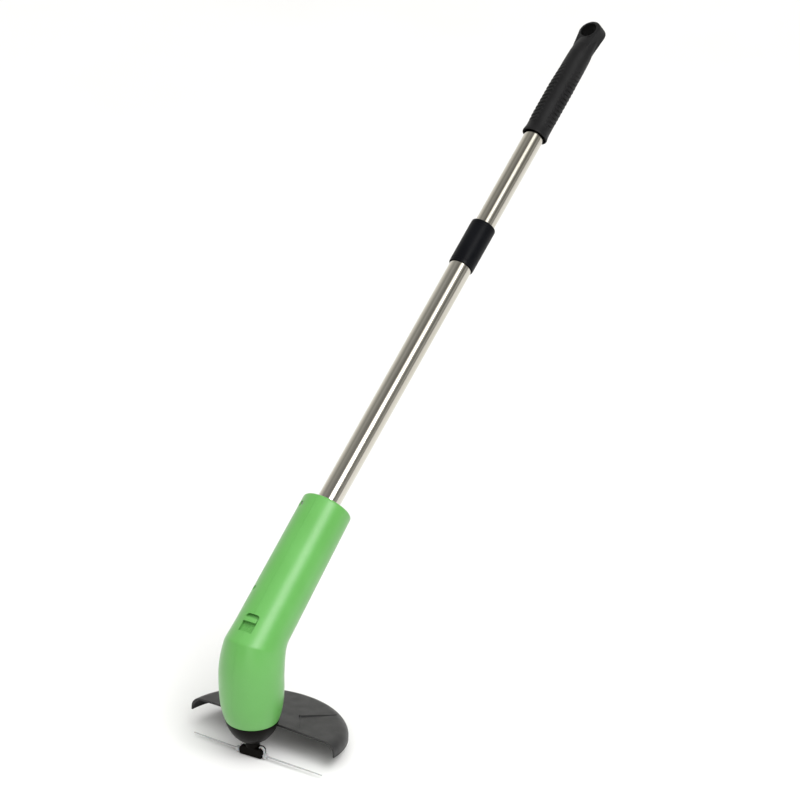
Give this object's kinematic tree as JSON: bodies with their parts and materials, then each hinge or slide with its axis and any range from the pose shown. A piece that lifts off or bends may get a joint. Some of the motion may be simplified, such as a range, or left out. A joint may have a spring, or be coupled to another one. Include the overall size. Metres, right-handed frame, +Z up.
{
  "type": "string trimmer",
  "caption": "Cordless string trimmer: bent motor and battery housing, rear guard, nylon ties on a spinning hub, and a telescoping steel pole with a grip and hang eye.",
  "frame": {"origin": "centre of the tie hub's flat bottom face, on the motor's axis", "axes": "+Z up the motor's axis, +Y back towards the user, the way the pole leans; X = 0 is the plane where the housing halves meet"},
  "size_m": [0.1808, 0.7055, 0.5977],
  "materials": {
    "green_plastic": "semi-gloss moulded plastic, pale green",
    "cap_plastic": "semi-gloss black moulded plastic",
    "guard_plastic": "semi-gloss black moulded plastic",
    "collar_plastic": "smooth black moulded plastic",
    "grip_rubber": "fine-textured black",
    "pole_steel": "polished stainless steel, drawn along its length",
    "screw_steel": "zinc plated",
    "contact_nickel": "nickel plated",
    "tie_nylon": "natural white nylon",
    "cell_wrap": "plain wrapped cell",
    "inner_plastic": "moulded plastic",
    "motor_steel": "plated steel",
    "motor_core": "lacquered core",
    "commutator_copper": "copper",
    "red_wire": "insulation",
    "black_wire": "insulation"
  },
  "bodies": {
    "housing": {"left_housing_shell": "green_plastic", "right_housing_shell": "green_plastic", "housing_screw_1": "screw_steel", "housing_screw_2": "screw_steel", "housing_screw_3": "screw_steel", "housing_screw_4": "screw_steel", "battery_tray": "inner_plastic", "battery_cell_1": "cell_wrap", "battery_cell_2": "cell_wrap", "battery_cell_3": "cell_wrap", "battery_cell_4": "cell_wrap", "negative_contact": "contact_nickel", "positive_contact": "contact_nickel", "bridge_contact": "contact_nickel", "negative_spring": "contact_nickel", "bridge_spring": "contact_nickel", "switch_body": "inner_plastic", "motor_mount": "inner_plastic", "motor_can": "motor_steel", "motor_end_bell": "inner_plastic", "motor_magnet_left": "motor_core", "motor_magnet_right": "motor_core", "motor_screw_1": "screw_steel", "motor_screw_2": "screw_steel", "nose_cap": "cap_plastic", "guard": "guard_plastic", "guard_screw_1": "screw_steel", "guard_screw_2": "screw_steel", "tube_socket": "inner_plastic", "tube_pin": "screw_steel", "lower_tube": "pole_steel", "collar": "collar_plastic", "wire_positive": "red_wire", "wire_switch": "red_wire", "wire_negative": "black_wire"},
    "spindle": {"motor_shaft": "motor_steel", "motor_armature": "motor_core", "motor_commutator": "commutator_copper", "hub_bush": "cap_plastic", "hub": "cap_plastic", "cutting_tie_right": "tie_nylon", "cutting_tie_left": "tie_nylon"},
    "sleeve": {"lock_sleeve": "inner_plastic"},
    "handle": {"upper_tube": "pole_steel", "lock_cone": "inner_plastic", "grip": "grip_rubber"},
    "door": {"battery_door": "green_plastic"},
    "slider": {"switch_slider": "green_plastic"}
  },
  "joints": [
    {"name": "hub_spin", "type": "hinge", "parent": "housing", "child": "spindle", "pos_m": [0, 0, 0.03], "axis": [0, 0, 1], "continuous": true},
    {"name": "pole_slide", "type": "slide", "parent": "housing", "child": "sleeve", "axis": [0, 0.8261, 0.5635], "range_m": [-0.12, 0.13]},
    {"name": "pole_twist", "type": "hinge", "parent": "sleeve", "child": "handle", "pos_m": [0, 0.23379, 0.29548], "axis": [0, 0.8261, 0.5635], "range_deg": [0, 180]},
    {"name": "door_hinge", "type": "hinge", "parent": "housing", "child": "door", "pos_m": [0, 0.04193, 0.11674], "axis": [-1, 0, 0], "range_deg": [0, 75]},
    {"name": "switch_slide", "type": "slide", "parent": "housing", "child": "slider", "axis": [0, 0.7986, 0.6018], "range_m": [-0.01, 0]}
  ]
}
